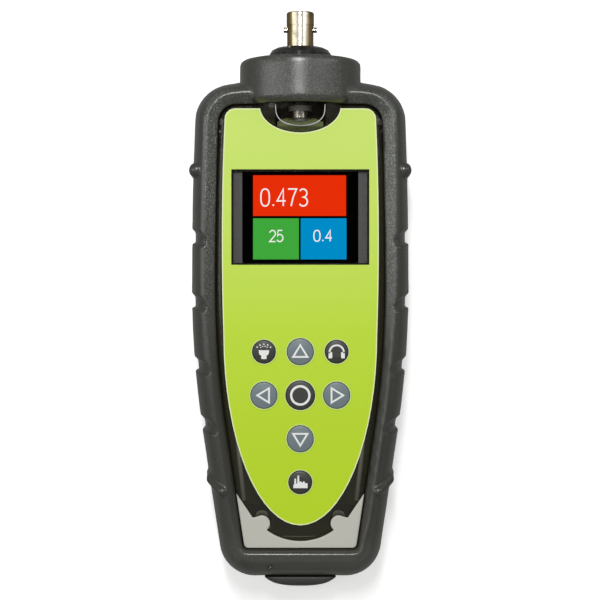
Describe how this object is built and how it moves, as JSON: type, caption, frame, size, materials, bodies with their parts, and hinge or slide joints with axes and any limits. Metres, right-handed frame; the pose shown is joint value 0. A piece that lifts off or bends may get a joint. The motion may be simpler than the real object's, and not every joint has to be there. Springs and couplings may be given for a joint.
{
  "type": "handheld vibration meter",
  "caption": "Handheld vibration meter in a grippy rubber boot, with a colour display, round keys, a bayonet sensor jack on a round nose and a flap over its foot sockets.",
  "frame": {"origin": "on the resting plane, under the middle of the meter's outer box", "axes": "+Z out of the display, +Y along the meter towards the sensor jack, +X to the right of someone who reads the display; the meter lies on its back"},
  "size_m": [0.0768, 0.2, 0.042],
  "materials": {
    "boot_rubber": "fine moulded texture",
    "flap_rubber": "smooth matt",
    "smoked_plastic": "polished, smoked and see-through",
    "dark_plastic": "fine texture",
    "seal": "smooth",
    "overlay": "satin film",
    "clear_pane": "polished",
    "grey_frame": "fine texture",
    "display": "polished",
    "flex_film": "satin film",
    "trim": "satin",
    "key_grey": "satin",
    "key_dark": "satin",
    "switches": "moulded",
    "board": "solder mask",
    "chips": "moulded",
    "steel": "plated",
    "nickel": "nickel plate",
    "collar_black": "polished",
    "white_insulator": "satin",
    "gold": "gold plate",
    "cell_wrap": "shrink wrap"
  },
  "bodies": {
    "meter": {"boot": "boot_rubber", "front_case": "smoked_plastic", "rear_case": "dark_plastic", "case_gasket": "seal", "overlay_label": "overlay", "display_window": "clear_pane", "display_frame": "grey_frame", "display_module": "display", "display_flex": "flex_film", "lower_trim": "trim", "key_switches": "switches", "main_board": "board", "board_components": "chips", "board_screws": "steel", "case_screws": "steel", "bnc_body": "nickel", "bnc_collar": "collar_black", "bnc_insulator": "white_insulator", "bnc_contact": "gold", "bnc_nut": "nickel", "bnc_washer": "steel", "signal_lead": "white_insulator", "headphone_jack": "chips", "usb_socket": "steel", "battery_cells": "cell_wrap", "battery_contacts": "steel", "battery_cover": "dark_plastic", "battery_cover_seal": "seal", "battery_cover_screws": "steel"},
    "flap": {"port_flap": "flap_rubber"},
    "torch_key": {"key_torch": "key_dark"},
    "up_key": {"key_up": "key_grey"},
    "headphones_key": {"key_headphones": "key_dark"},
    "left_key": {"key_left": "key_grey"},
    "centre_key": {"key_centre": "key_dark"},
    "right_key": {"key_right": "key_grey"},
    "down_key": {"key_down": "key_grey"},
    "machine_key": {"key_machine": "key_dark"}
  },
  "joints": [
    {"name": "flap_hinge", "type": "hinge", "parent": "meter", "child": "flap", "pos_m": [0, -0.09555, 0.01], "axis": [1, 0, 0], "range_deg": [0, 90], "stiffness_Nm_per_rad": 0.01},
    {"name": "torch_press", "type": "slide", "parent": "meter", "child": "torch_key", "axis": [0, 0, -1], "range_m": [0, 0.0004], "stiffness_N_per_m": 5000},
    {"name": "up_press", "type": "slide", "parent": "meter", "child": "up_key", "axis": [0, 0, -1], "range_m": [0, 0.0004], "stiffness_N_per_m": 5000},
    {"name": "headphones_press", "type": "slide", "parent": "meter", "child": "headphones_key", "axis": [0, 0, -1], "range_m": [0, 0.0004], "stiffness_N_per_m": 5000},
    {"name": "left_press", "type": "slide", "parent": "meter", "child": "left_key", "axis": [0, 0, -1], "range_m": [0, 0.0004], "stiffness_N_per_m": 5000},
    {"name": "centre_press", "type": "slide", "parent": "meter", "child": "centre_key", "axis": [0, 0, -1], "range_m": [0, 0.0004], "stiffness_N_per_m": 5000},
    {"name": "right_press", "type": "slide", "parent": "meter", "child": "right_key", "axis": [0, 0, -1], "range_m": [0, 0.0004], "stiffness_N_per_m": 5000},
    {"name": "down_press", "type": "slide", "parent": "meter", "child": "down_key", "axis": [0, 0, -1], "range_m": [0, 0.0004], "stiffness_N_per_m": 5000},
    {"name": "machine_press", "type": "slide", "parent": "meter", "child": "machine_key", "axis": [0, 0, -1], "range_m": [0, 0.0004], "stiffness_N_per_m": 5000}
  ]
}
